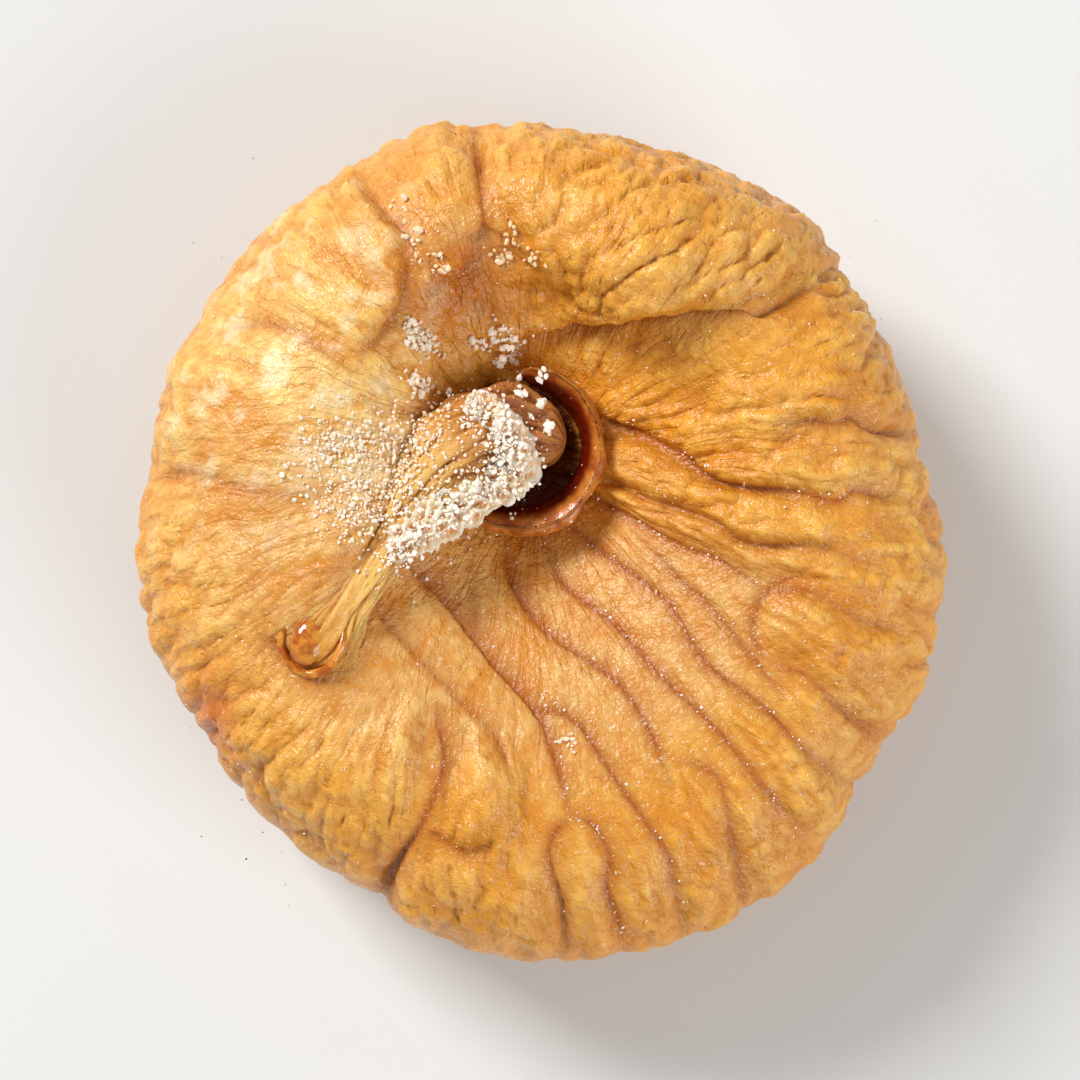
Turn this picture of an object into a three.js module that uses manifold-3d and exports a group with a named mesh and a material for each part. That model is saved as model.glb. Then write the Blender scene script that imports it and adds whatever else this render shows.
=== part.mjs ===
// A dried fig, pressed flat, lying on its blossom end with its stem end up.
//
// Four pieces: the fruit itself, the dried stem that is folded down out of the hollow and lies on the skin,
// the curled scale that wraps the stem's round end, and the crust of sugar that has come out over the stem.
//
// Millimetres, +Z up. The origin is at the middle of the footprint, on the surface that the fig lies on.
// +Y is the fruit's longer way across.

import * as THREE from "three";
import { mergeVertices } from "three/addons/utils/BufferGeometryUtils.js";
import Module from "manifold-3d";

const wasm = await Module();
wasm.setup();

// ---------------------------------------------------------------- driving dimensions

const HOLLOW = { x: -1.4, y: 5.2, z: 10.4 }; // lowest point of the hollow that the skin gathers into
const STEP = 30; // degrees between the stations of the lists below, counter-clockwise from +X

const OUTLINE_R = [24.7, 24.8, 24.9, 26.0, 25.9, 25.0, 24.8, 23.9, 24.3, 26.1, 26.2, 25.2];
const CREST_AT = [0.75, 0.72, 0.66, 0.68, 0.6, 0.54, 0.54, 0.6, 0.68, 0.73, 0.76, 0.77]; // share of the way out
const CREST_Z = [18.2, 19.2, 19.9, 19.4, 19.7, 20.0, 19.4, 18.9, 18.2, 17.8, 17.5, 17.7];
const FLOOR = [1.1, 1.7, 2.1, 2.0, 1.7, 1.3, 1.1, 1.1, 1.1, 1.1, 1.0, 1.0]; // above 1, the floor is flatter
const WAIST_Z = [8.6, 8.8, 8.6, 8.4, 8.6, 9.0, 8.6, 8.2, 8.0, 8.2, 8.4, 8.4]; // widest level of the side

const FOOT_SHARE = 0.66; // the flat underside's size, as a share of the outline
const EYE = { radius: 2.6, depth: 1.3 }; // the eye in the middle of the underside
const GAP = 0.3; // between pieces that touch

// The stretches of the profile, as shares of the rows of faces from the hollow to the eye.
const ROWS = { hollow: 0.42, rim: 0.64, turn: 0.82 };
const AROUND = 72;
const ALONG = 34;

// Pleats run out of the hollow and over the rim: [direction in degrees, starts at, ends at, depth, half width].
const PLEATS = [
  [12, 0.35, 1.2, 0.7, 1.2],
  [31, 0.3, 0.85, 1.5, 1.3],
  [88, 0.4, 1.1, 1.5, 1.3],
  [118, 0.5, 1.1, 0.5, 1.6],
  [165, 0.5, 1.2, 0.4, 1.6],
  [236, 0.35, 1.25, 0.8, 1.3],
  [262, 0.3, 1.3, 0.8, 1.2],
  [276, 0.3, 1.2, 1.3, 1.2],
  [292, 0.3, 1.3, 0.9, 1.1],
  [305, 0.3, 1.2, 0.8, 1.1],
  [318, 0.3, 1.2, 1.0, 1.1],
  [333, 0.3, 1.1, 0.9, 1.2],
  [350, 0.3, 1.2, 0.8, 1.2],
];

// The stem's middle line, seen from above, from its round end in the hollow to its tip on the skin,
// with its half widths, and how far it is sunk in the skin as a share of its half width.
const STEM = {
  route: [[1.4, 5.9], [-2.2, 6.0], [-5.6, 4.6], [-8.2, 1.4], [-10.4, -2.4], [-13.4, -6.0]],
  halfWidth: [2.7, 2.8, 2.6, 2.1, 1.7, 1.3],
  sunk: 0.1,
};
const BRACT = { centre: [-1.2, 5.5], radius: 4.4, from: 84, to: -132, height: 3.4, wall: 0.9, z: 14.2 };
const CRUST = {
  route: [[-3.4, 7.2], [-1.9, 5.6], [-2.3, 3.9], [-5.0, 2.5], [-8.2, -0.8]],
  halfWidth: 1.1,
  thickness: 0.8,
};

const COLOURS = { fruit: 0xdea457, stem: 0xc08346, bract: 0x8f4212, sugar: 0xf0e2cf };

// ---------------------------------------------------------------- small helpers

const radians = (degrees) => (degrees * Math.PI) / 180;
const mix = (a, b, t) => a + (b - a) * t;
const clamp01 = (t) => Math.min(1, Math.max(0, t));
const smooth = (t) => clamp01(t) ** 2 * (3 - 2 * clamp01(t));

// A list of stations read at any angle, by a Catmull-Rom curve that closes on itself.
function ringValue(list, angle) {
  const at = (((angle / radians(STEP)) % list.length) + list.length) % list.length;
  const i = Math.floor(at);
  const t = at - i;
  const [a, b, c, d] = [-1, 0, 1, 2].map((k) => list[(i + k + list.length) % list.length]);
  return b + 0.5 * t * (c - a + t * (2 * a - 5 * b + 4 * c - d + t * (3 * (b - c) + d - a)));
}

// A closed skin: a sphere's grid of faces with each corner moved to pointAt(u, v), where u goes once round,
// counter-clockwise seen from the first pole, and v goes from that pole, 0, to the other, 1.
function closedSkin(around, along, pointAt) {
  const geometry = new THREE.SphereGeometry(1, around, along);
  const { position, uv } = geometry.attributes;
  for (let i = 0; i < position.count; i++) {
    const row = Math.round((1 - uv.getY(i)) * along);
    const column = row === 0 || row === along ? 0 : Math.round(uv.getX(i) * around) % around;
    position.setXYZ(i, ...pointAt(column / around, row / along));
  }
  return geometry;
}

function solidOf(geometry) {
  const bare = geometry.clone();
  bare.deleteAttribute("normal");
  bare.deleteAttribute("uv");
  const merged = mergeVertices(bare, 1e-4);
  return new wasm.Manifold(
    new wasm.Mesh({
      numProp: 3,
      vertProperties: merged.attributes.position.array,
      triVerts: new Uint32Array(merged.index.array),
    }),
  );
}

function geometryOf(solid) {
  const mesh = solid.getMesh();
  const geometry = new THREE.BufferGeometry();
  geometry.setAttribute("position", new THREE.BufferAttribute(mesh.vertProperties, 3));
  geometry.setIndex(new THREE.BufferAttribute(mesh.triVerts, 1));
  geometry.computeVertexNormals();
  return geometry;
}

// ---------------------------------------------------------------- the fruit

// How deep the pleats cut at a place seen from above, reach being its share of the way from hollow to waist.
function pleatDepth(x, y, reach) {
  const direction = Math.atan2(y - HOLLOW.y, x - HOLLOW.x);
  const distance = Math.hypot(x - HOLLOW.x, y - HOLLOW.y);
  let depth = 0;
  for (const [degrees, start, end, deep, halfWidth] of PLEATS) {
    const turn = direction - radians(degrees);
    if (Math.cos(turn) <= 0) continue;
    const away = Math.abs(Math.sin(turn)) * distance;
    const fade = smooth((reach - start) / 0.15) * (1 - smooth((reach - end + 0.2) / 0.2));
    depth += deep * fade * Math.exp(-away / halfWidth);
  }
  return depth;
}

// A point of the fruit's skin. Each meridian goes up out of the hollow to the crest, round the rim to the
// waist, under it to the foot's edge, and in over the flat foot to the eye.
function skinPoint(u, v) {
  const angle = 2 * Math.PI * u;
  const radius = ringValue(OUTLINE_R, angle);
  const outer = [radius * Math.cos(angle), radius * Math.sin(angle)];
  const crestAt = ringValue(CREST_AT, angle);
  const crestZ = ringValue(CREST_Z, angle);
  const waistZ = ringValue(WAIST_Z, angle);

  if (v <= ROWS.rim) {
    let share, z, lean;
    if (v <= ROWS.hollow) {
      const t = v / ROWS.hollow;
      share = crestAt * t;
      z = mix(HOLLOW.z, crestZ, Math.sin((Math.PI / 2) * t) ** ringValue(FLOOR, angle));
      lean = 0;
    } else {
      lean = ((v - ROWS.hollow) / (ROWS.rim - ROWS.hollow)) * (Math.PI / 2);
      share = crestAt + (1 - crestAt) * Math.sin(lean);
      z = waistZ + (crestZ - waistZ) * Math.cos(lean);
    }
    const x = mix(HOLLOW.x, outer[0], share);
    const y = mix(HOLLOW.y, outer[1], share);
    const lift = -pleatDepth(x, y, share);
    return [
      x + lift * Math.sin(lean) * Math.cos(angle),
      y + lift * Math.sin(lean) * Math.sin(angle),
      z + lift * Math.cos(lean),
    ];
  }
  if (v < ROWS.turn) {
    const t = ((v - ROWS.rim) / (ROWS.turn - ROWS.rim)) * (Math.PI / 2);
    const share = FOOT_SHARE + (1 - FOOT_SHARE) * Math.cos(t);
    const [x, y] = [outer[0] * share, outer[1] * share];
    const lift = -pleatDepth(x, y, 2 - share) * Math.cos(t);
    return [x + lift * Math.cos(angle), y + lift * Math.sin(angle), waistZ * (1 - Math.sin(t))];
  }
  const share = FOOT_SHARE * (1 - (v - ROWS.turn) / (1 - ROWS.turn));
  const distance = radius * share;
  return [outer[0] * share, outer[1] * share, EYE.depth * smooth(1 - distance / EYE.radius)];
}

const fruit = solidOf(closedSkin(AROUND, ALONG, skinPoint));
const fruitWithGap = fruit.add(fruit.translate([0, 0, GAP]));

// ---------------------------------------------------------------- stem, scale and sugar

// The height of the top of a solid at a place seen from above.
function topOf(solid, x, y) {
  const needle = solidOf(new THREE.BoxGeometry(0.2, 0.2, 60).translate(x, y, 30));
  return needle.intersect(solid).boundingBox().max[2];
}

// A body swept along a route on a closed grid. ringAt(t) gives its middle, half width, half height and the
// sideways and upward directions, and the ends are rounded over the share of the route that endShare gives.
function sweptSkin(around, along, endShare, ringAt) {
  return closedSkin(around, along, (u, v) => {
    const ring = ringAt(v);
    const fromEnd = Math.min(v, 1 - v) / endShare;
    const full = fromEnd >= 1 ? 1 : Math.sqrt(1 - (1 - fromEnd) ** 2);
    const [c, s] = [full * Math.cos(2 * Math.PI * u), full * Math.sin(2 * Math.PI * u)];
    return [0, 1, 2].map((k) => ring.middle[k] + ring.side[k] * ring.halfWidth * c + ring.up[k] * ring.halfHeight * s);
  });
}

// A route on top of a solid: a smooth curve through places seen from above, laid over the solid's heights.
function routeOver(solid, places) {
  const heights = places.map(([x, y]) => topOf(solid, x, y));
  return new THREE.CatmullRomCurve3(places.map(([x, y], i) => new THREE.Vector3(x, y, heights[i])));
}

// The sideways direction at a place of a route, level, to the right of its run.
function rightOf(route, v) {
  const run = route.getTangent(v);
  const level = Math.hypot(run.x, run.y);
  return [run.y / level, -run.x / level, 0];
}

// The stem is a thick round end in the hollow that thins into a flattened strap lying on the skin.
function stemSkin(spare) {
  const route = routeOver(fruit, STEM.route);
  return sweptSkin(18, 26, 0.22, (v) => {
    const at = v * (STEM.halfWidth.length - 1);
    const i = Math.min(Math.floor(at), STEM.halfWidth.length - 2);
    const half = mix(STEM.halfWidth[i], STEM.halfWidth[i + 1], at - i);
    const { x, y, z } = route.getPoint(v);
    return {
      middle: [x, y, z + half * (1 - STEM.sunk) * (1 - v)],
      side: rightOf(route, v),
      up: [0, 0, 1],
      halfWidth: half + spare,
      halfHeight: half * mix(1, 0.8, v) + spare,
    };
  });
}

// The scale is a curled strip round the stem's round end, leaning outwards, thin at its tips.
const bractSkin = sweptSkin(10, 32, 0.3, (v) => {
  const angle = radians(mix(BRACT.from, BRACT.to, v));
  const [c, s] = [Math.cos(angle), Math.sin(angle)];
  return {
    middle: [BRACT.centre[0] + BRACT.radius * c, BRACT.centre[1] + BRACT.radius * s, BRACT.z],
    side: [-c, -s, 0],
    up: [0.2 * c, 0.2 * s, 1],
    halfWidth: BRACT.wall / 2,
    halfHeight: BRACT.height / 2,
  };
});

const stem = solidOf(stemSkin(0)).subtract(fruitWithGap);
const stemWithGap = solidOf(stemSkin(GAP));
const bract = solidOf(bractSkin).subtract(fruitWithGap).subtract(stemWithGap);

// The crust follows the stem's edge as a thin strap on top of it.
const crustBed = fruitWithGap.add(stemWithGap);
const crustRoute = routeOver(crustBed, CRUST.route);
const crustSkin = sweptSkin(12, 22, 0.15, (v) => ({
  middle: crustRoute.getPoint(v).toArray(),
  side: rightOf(crustRoute, v),
  up: [0, 0, 1],
  halfWidth: CRUST.halfWidth,
  halfHeight: CRUST.thickness,
}));
const crust = solidOf(crustSkin).subtract(crustBed);

// ---------------------------------------------------------------- the assembly

function piece(name, solid, colour, roughness) {
  const material = new THREE.MeshStandardMaterial({ color: colour, roughness, metalness: 0 });
  const mesh = new THREE.Mesh(geometryOf(solid), material);
  mesh.name = name;
  return mesh;
}

const fig = new THREE.Group();
fig.add(piece("fig_body", fruit, COLOURS.fruit, 0.55));
fig.add(piece("stem", stem, COLOURS.stem, 0.7));
fig.add(piece("stem_scale", bract, COLOURS.bract, 0.4));
fig.add(piece("sugar_crust", crust, COLOURS.sugar, 0.8));

// The footprint is centred on the origin.
const footprint = new THREE.Box3().setFromObject(fig);
fig.position.set(-(footprint.min.x + footprint.max.x) / 2, -(footprint.min.y + footprint.max.y) / 2, 0);

export default fig;
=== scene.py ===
"""A dried fig, pressed flat, seen from straight above.

The fruit's skin is one closed surface worked out on a grid that runs from the bottom of the hollow, over
the rim, down the side and in under the fruit to its eye. Folds, pleats and wrinkles push that surface in
and out along its own normal. The stem, the curled scale, the clear tip and the sugar lie on the skin.

Lengths in the formulas are millimetres, counted from the middle of the footprint, and become metres when
a mesh is made.
"""

import math

import bpy
import numpy as np
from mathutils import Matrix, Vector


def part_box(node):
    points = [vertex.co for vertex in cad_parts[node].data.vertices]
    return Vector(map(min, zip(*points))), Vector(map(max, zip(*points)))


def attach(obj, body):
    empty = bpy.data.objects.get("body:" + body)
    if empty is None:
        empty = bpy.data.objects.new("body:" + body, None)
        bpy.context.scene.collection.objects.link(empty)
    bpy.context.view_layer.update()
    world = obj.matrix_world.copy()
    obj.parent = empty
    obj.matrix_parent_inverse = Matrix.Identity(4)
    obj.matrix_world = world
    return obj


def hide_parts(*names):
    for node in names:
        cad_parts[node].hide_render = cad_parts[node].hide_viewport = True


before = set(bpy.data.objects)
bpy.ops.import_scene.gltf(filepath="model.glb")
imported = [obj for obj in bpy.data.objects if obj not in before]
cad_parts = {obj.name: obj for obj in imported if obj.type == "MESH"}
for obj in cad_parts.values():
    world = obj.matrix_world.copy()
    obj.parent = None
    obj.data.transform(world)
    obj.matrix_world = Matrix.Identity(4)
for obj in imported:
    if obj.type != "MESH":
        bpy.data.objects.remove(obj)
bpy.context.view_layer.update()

MM = 0.001
TAU = 2 * math.pi

# ------------------------------------------------------------------ the fruit's measures, in millimetres

HOLLOW = (-1.4, 5.2, 10.4)  # the lowest place of the hollow that the skin gathers into

# Every 15 degrees round the fruit, counter-clockwise from +X.
OUTLINE = [
    24.7, 24.5, 24.8, 25.1, 24.8, 25.3, 26.0, 26.4, 25.9, 25.3, 25.0, 24.9,
    24.8, 24.5, 24.0, 23.9, 24.4, 25.4, 26.1, 26.4, 26.2, 25.8, 25.2, 24.9,
]

# Every 30 degrees, as on the solid that this skin stands for.
CREST_SHARE = [0.75, 0.72, 0.66, 0.68, 0.6, 0.54, 0.54, 0.6, 0.68, 0.73, 0.76, 0.77]
CREST_HEIGHT = [18.2, 19.2, 19.9, 19.4, 19.7, 20.0, 19.4, 18.9, 18.2, 17.8, 17.5, 17.7]
FLOOR = [1.1, 1.7, 2.1, 2.0, 1.7, 1.3, 1.1, 1.1, 1.1, 1.1, 1.0, 1.0]
WAIST_HEIGHT = [8.6, 8.8, 8.6, 8.4, 8.6, 9.0, 8.6, 8.2, 8.0, 8.2, 8.4, 8.4]

FOOT_SHARE = 0.66  # the flat underside, as a share of the outline
EYE_RADIUS = 2.6
EYE_DEPTH = 1.3

AROUND = 600
ROWS = {"hollow": 78, "rim": 40, "turn": 26, "foot": 20}

# Creases that one can point to. Each is a route seen from above, how deep it is, how wide it is on its
# left and right hand, and how much the skin on its left hand swells up beside it.
CREASES = {
    "top": ([(-3.6, 25.0), (-3.5, 22.3), (-3.2, 19.5), (-2.7, 17.2)], 1.3, 0.9, 0.9, 0.0),
    "under_lobe": (
        [(-1.5, 11.4), (3.3, 12.1), (8.1, 12.8), (12.4, 13.3), (14.1, 14.0), (16.0, 15.4)],
        2.4, 0.9, 1.8, 0.9,
    ),
    "wedge": (
        [(3.6, 7.9), (5.4, 6.9), (8.1, 5.4), (10.9, 3.6), (15.3, 2.9), (17.6, 2.3)],
        1.0, 0.8, 1.3, 0.2,
    ),
    "wedge_end": ([(15.3, 2.9), (17.6, 2.3), (19.3, 3.0), (21.9, 2.5)], 0.9, 0.8, 0.8, 0.2),
    "right_edge": (
        [(14.5, 7.2), (17.7, 7.0), (19.0, 7.4), (20.4, 6.7), (22.6, 6.9)],
        0.8, 0.6, 0.8, 0.25,
    ),
    "pleat_1": (
        [(3.4, 4.6), (6.0, 2.9), (8.4, 2.0), (10.9, 1.1), (12.5, -0.1), (16.7, -0.4), (20.5, -1.6)],
        0.7, 0.7, 0.7, 0.0,
    ),
    "pleat_2": (
        [(2.0, 3.2), (4.4, 2.0), (6.6, 0.7), (8.7, -0.4), (10.6, -1.1), (13.7, -3.0)],
        1.1, 0.6, 1.2, 0.3,
    ),
    "pleat_2_end": (
        [(13.7, -3.0), (15.3, -2.9), (16.7, -3.2), (18.7, -4.4), (21.5, -5.5)],
        0.7, 0.7, 0.7, 0.0,
    ),
    "pleat_3": (
        [
            (1.4, 1.4), (3.2, -0.1), (6.9, -3.0), (8.1, -4.4),
            (9.9, -7.2), (13.4, -9.9), (15.9, -12.5), (19.3, -15.0),
        ],
        0.9, 0.8, 0.8, 0.0,
    ),
    "pleat_3b": (
        [(6.1, 0.1), (8.1, -2.1), (9.9, -3.6), (12.2, -6.4), (14.6, -9.2)],
        0.8, 0.6, 0.9, 0.2,
    ),
    "pleat_4": (
        [
            (0.2, 0.1), (1.3, -2.1), (4.4, -4.7), (7.2, -7.9),
            (10.9, -11.5), (13.7, -15.0), (16.0, -17.6),
        ],
        0.9, 0.8, 0.8, 0.0,
    ),
    "pleat_5": (
        [(-2.0, 0.1), (-1.1, -2.7), (0.8, -5.3), (4.4, -7.9), (6.6, -11.2), (7.9, -14.7)],
        0.9, 0.7, 0.8, 0.0,
    ),
    "pleat_6": (
        [
            (-3.9, -1.4), (-2.7, -6.0), (-0.1, -9.1), (2.4, -10.6),
            (4.4, -13.7), (7.5, -18.4), (8.2, -20.2), (8.7, -23.6),
        ],
        1.0, 0.8, 0.8, 0.0,
    ),
    "main": (
        [
            (-7.2, 0.1), (-5.3, -2.0), (-2.4, -6.1), (0.1, -9.4),
            (0.9, -11.8), (1.6, -14.2), (2.0, -16.5),
        ],
        1.9, 0.8, 1.3, 0.2,
    ),
    "main_left": (
        [(2.0, -16.3), (1.0, -17.6), (0.7, -19.3), (1.3, -22.1), (1.6, -24.8)],
        1.4, 0.8, 0.8, 0.1,
    ),
    "main_right": (
        [(2.1, -16.3), (3.5, -17.1), (4.4, -19.3), (4.2, -21.3), (5.0, -24.2)],
        0.9, 0.7, 0.7, 0.0,
    ),
    "knuckle": (
        [(15.8, -1.9), (13.9, -2.6), (12.9, -3.9), (12.7, -5.6), (13.4, -7.0)],
        0.8, 0.8, 0.8, 0.25,
    ),
    "knuckle_end": (
        [(13.8, -7.3), (16.1, -8.1), (17.9, -9.9), (19.3, -10.9), (21.2, -12.0)],
        0.8, 0.7, 0.9, 0.2,
    ),
    "hem_fork": (
        [(8.7, -13.1), (10.6, -14.0), (11.2, -15.6), (12.2, -19.8), (12.5, -22.8)],
        0.8, 0.7, 0.7, 0.0,
    ),
    "under_stem": ([(-5.8, 0.8), (-8.6, -1.1), (-9.5, -3.2), (-10.5, -5.0)], 1.4, 0.9, 0.7, 0.0),
    "left_pleat": (
        [(-9.2, -2.3), (-8.2, -4.8), (-5.7, -8.1), (-2.7, -11.3), (-1.7, -13.9)],
        0.6, 0.7, 0.7, 0.0,
    ),
    "cheek": (
        [(-5.9, -9.7), (-5.4, -12.1), (-5.6, -13.9), (-7.0, -17.1), (-9.3, -20.7), (-9.8, -22.2)],
        1.3, 1.0, 0.9, 0.2,
    ),
    "cheek_fork": ([(-6.9, -17.3), (-5.7, -18.1), (-4.2, -18.7), (-2.6, -18.0)], 0.7, 0.6, 0.6, 0.0),
    "lip": ([(-16.4, -5.8), (-15.3, -6.7), (-13.9, -8.1), (-12.1, -8.8)], 1.0, 0.5, 0.35, 0.0),
    "hollow_edge": (
        [(-10.1, 11.0), (-8.1, 13.7), (-7.6, 16.4), (-7.9, 18.3), (-9.1, 19.6), (-10.6, 22.0)],
        0.7, 0.5, 2.2, 0.3,
    ),
    "left_fold": (
        [(-18.9, 13.1), (-17.3, 13.3), (-14.7, 12.7), (-13.1, 11.5), (-11.2, 10.1)],
        0.5, 0.8, 0.8, 0.0,
    ),
    "left_low": (
        [(-23.5, 3.7), (-21.3, 4.1), (-18.3, 3.3), (-15.2, 2.7), (-12.4, 3.0)],
        0.5, 0.9, 0.9, 0.0,
    ),
}

# Swellings and dents: middle, half lengths along and across, turn in degrees, and height.
SWELLINGS = [
    ((6.9, 17.8), (7.5, 3.8), 12, 1.7),
    ((7.5, 4.6), (7.0, 2.2), -25, 0.9),
    ((15.6, 18.0), (3.0, 3.0), 0, 0.5),
    ((16.6, -5.2), (4.6, 2.2), -35, 0.9),
    ((-8.0, -11.6), (3.2, 1.5), 65, 1.0),
    ((-3.3, -14.4), (3.2, 2.6), 80, 0.9),
    ((-13.6, -14.0), (4.0, 3.0), -45, 0.4),
    ((-12.5, 18.5), (5.5, 3.0), 45, 0.5),
    ((-20.0, 8.6), (3.0, 4.0), 0, 0.4),
    ((-2.9, 16.9), (1.6, 2.0), 0, -4.0),
    ((-4.4, 13.4), (2.6, 2.6), 0, -1.6),
    ((0.2, 14.4), (2.4, 1.6), 0, -1.6),
    ((14.6, 15.4), (2.6, 1.3), 30, -0.9),
    ((-10.4, 1.2), (5.0, 2.0), 57, 1.1),
    ((-7.6, -3.2), (3.4, 1.3), 62, -0.9),
    ((18.6, -13.4), (3.0, 1.4), -45, -0.8),
]

# The stem's middle line from its round end, with its half widths, and how high it lies over the skin.
STEM_ROUTE = [
    (1.5, 5.7), (-2.2, 6.4), (-5.2, 5.0), (-7.4, 2.6), (-9.4, -0.8), (-11.4, -3.8), (-13.3, -7.1),
]
STEM_HALF_WIDTH = [2.8, 3.3, 2.9, 2.3, 1.7, 1.75, 2.5]
STEM_LIFT = [2.6, 2.6, 1.7, 0.9, 0.35, 0.15, -0.1]
ROUND_TALLNESS, STRAP_TALLNESS = 0.95, 0.42  # how tall the stem is for its width, at its two ends

TIP = (-13.5, -5.9)
BEAD_HALF_WIDTH, BEAD_HALF_HEIGHT = 1.0, 0.5
TIP_RIM = [
    (-14.6, -4.5), (-15.1, -5.9), (-14.6, -7.2), (-13.4, -7.8), (-12.2, -7.3), (-11.5, -6.1), (-11.3, -4.8),
]
RIM_HALF_WIDTH, RIM_HALF_HEIGHT = 0.24, 0.26

# The middle line of the thick sugar crust and its half widths.
CRUST_ROUTE = [
    (-4.4, 8.2), (-2.9, 7.4), (-1.6, 5.6), (-1.9, 4.0), (-3.6, 2.8), (-5.6, 1.6), (-7.4, 0.2), (-8.8, -1.2),
]
CRUST_HALF_WIDTH = [0.7, 0.9, 1.1, 1.5, 1.5, 1.4, 1.1, 0.7]

# Where single crystals lie: how many, round which places, how far they scatter in x and y, the smallest
# and largest radius, and how clear they are, from white to honey.
DUSTED_CREASES = (
    "pleat_2", "pleat_3", "pleat_3b", "pleat_4", "pleat_5", "pleat_6", "main", "wedge", "main_right",
)
FROST_ROUTE = [(-6.0, 6.6), (-8.5, 5.4), (-11.0, 5.6), (-13.0, 5.0)]
LOW_FROST_ROUTE = [(-7.5, 3.4), (-10.0, 2.0), (-12.0, 1.6)]
BIG_SINGLES = [
    (-2.2, 10.3), (-1.3, 9.9), (-1.0, 8.7), (0.1, 8.2), (0.4, 6.5), (-2.2, 7.1), (0.1, 4.7), (0.2, 9.9),
]
CLUSTERS = [
    (110, [(-7.3, 12.0), (-6.6, 11.3), (-7.2, 9.2)], 0.42, 0.1, 0.24, 0.4),
    (90, [(-3.4, 11.6), (-2.4, 12.2), (-2.2, 10.8), (-1.7, 11.4)], 0.36, 0.1, 0.26, 0.3),
    (34, [(-1.8, 17.7), (-2.1, 16.6), (-0.4, 16.4)], 0.3, 0.12, 0.26, 0.7),
    (30, [(-7.1, 17.6), (-6.0, 15.9), (-8.2, 19.4)], 0.4, 0.12, 0.26, 0.6),
    (16, [(1.3, -11.8), (1.9, -11.9)], 0.3, 0.1, 0.22, 0.5),
    (30, BIG_SINGLES, 0.18, 0.16, 0.34, 0.0),
]

GRAIN_FLATNESS = 0.8
FROTH_SUNK = 0.2  # how far the froth's middle line lies below what it rests on

# The scale stands on a circle about its middle, from one angle to another, in degrees.
SCALE = {"middle": (-1.2, 5.5), "radius": 4.4, "from": 92, "to": -140, "height": 3.4, "over_hollow": 3.7}

CUT = 1.85  # how much deeper than its fresh depth, as listed, drying has made every crease
SPREAD = 1.25  # how much wider than its listed widths
NICK = 0.28  # half width of the thin nick at the bottom of every crease
NICK_SHARE = 0.32  # the nick's share of a crease's depth
# The next two set the painted shade along every crease: how far its dark line reaches, and how deep a crease
# must be for full shade.
SHADE_LINE_WIDTH = 0.36  # how far a crease's dark line reaches
SHADE_LINE_DEPTH = 1.7  # a crease this deep is fully dark
CREASE_REACH = 6.0  # no crease is felt beyond this distance

# Wrinkles: how high each family stands, on the upper side, round the waist and low on the side.
WRINKLE_HEIGHT = {
    "broad": (0.55, 0.3, 0.9),
    "middle": (0.42, 0.1, 0.5),
}
SLANT_HEIGHT, FINE_SLANT_HEIGHT = 0.55, 0.2  # on the upper right lobe
FINE_HEIGHT, CELL_HEIGHT, SMALL_CELL_HEIGHT = 0.15, 0.32, 0.15
WALL_HEIGHT = {"cells": 0.7, "small_cells": 0.25, "lumps": 1.5}  # on the hollow's crinkled upper wall
WAVE_HEIGHT = (0.6, 0.2)  # the slow wave of the whole skin, above and beneath
REST_LEVEL = 0.35  # the mean relief, which is taken off so that the fruit keeps its size
SLANT = math.radians(17)  # which way the lobe's wrinkles run
EVEN_HEIGHT = 3.5  # below this height the skin flattens towards the underside

SEED = 20


# ------------------------------------------------------------------ plain mathematics on whole arrays


def mix(a, b, share):
    """a where share is 0, b where share is 1, and in proportion between."""
    return a + (b - a) * share


def ramp(value, low, high):
    """0 below low, 1 above high, and 3t^2 - 2t^3 between them."""
    t = np.clip((value - low) / (high - low), 0, 1)
    return t * t * (3 - 2 * t)


def round_list(stations, angle):
    """Stations spaced evenly round a circle, read at any angle by a closed Catmull-Rom curve."""
    values = np.asarray(stations, float)
    place = (angle / TAU * len(values)) % len(values)
    i = np.floor(place).astype(int)
    t = place - i
    a, b, c, d = (values[(i + k) % len(values)] for k in (-1, 0, 1, 2))
    return b + 0.5 * t * (c - a + t * (2 * a - 5 * b + 4 * c - d + t * (3 * (b - c) + d - a)))


def smooth_route(points, steps=12):
    """An open Catmull-Rom curve through the points, with its end points doubled outwards."""
    p = np.asarray(points, float)
    p = np.vstack([2 * p[0] - p[1], p, 2 * p[-1] - p[-2]])
    t = np.linspace(0, 1, steps, endpoint=False)[None, :, None]
    a, b, c, d = (p[k : len(p) - 3 + k, None] for k in range(4))
    curve = b + 0.5 * t * (c - a + t * (2 * a - 5 * b + 4 * c - d + t * (3 * (b - c) + d - a)))
    return np.vstack([curve.reshape(-1, p.shape[1]), p[-2]])


def near_route(points, x, y, reach):
    """For places seen from above: distance from a route, side (+1 on its left) and the share run so far.

    Each place takes the nearest of the route's short straight pieces. Beyond reach it is infinitely far.
    """
    curve = smooth_route(points)
    low, high = curve.min(axis=0) - reach, curve.max(axis=0) + reach
    inside = (x > low[0]) & (x < high[0]) & (y > low[1]) & (y < high[1])
    away = np.full(x.shape, np.inf)
    side = np.ones(x.shape)
    run = np.zeros(x.shape)
    here = np.stack([x[inside], y[inside]], axis=-1)[:, None]
    start, step = curve[:-1][None], np.diff(curve, axis=0)[None]
    along = np.clip(((here - start) * step).sum(-1) / (step * step).sum(-1), 0, 1)
    offset = here - start - along[..., None] * step
    distance = np.hypot(offset[..., 0], offset[..., 1])
    best = distance.argmin(axis=1)
    pick = np.arange(len(best))
    turn = step[0, best, 0] * offset[pick, best, 1] - step[0, best, 1] * offset[pick, best, 0]
    away[inside] = distance[pick, best]
    side[inside] = np.where(turn >= 0, 1.0, -1.0)
    run[inside] = (best + along[pick, best]) / (len(curve) - 1)
    return away, side, run


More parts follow.
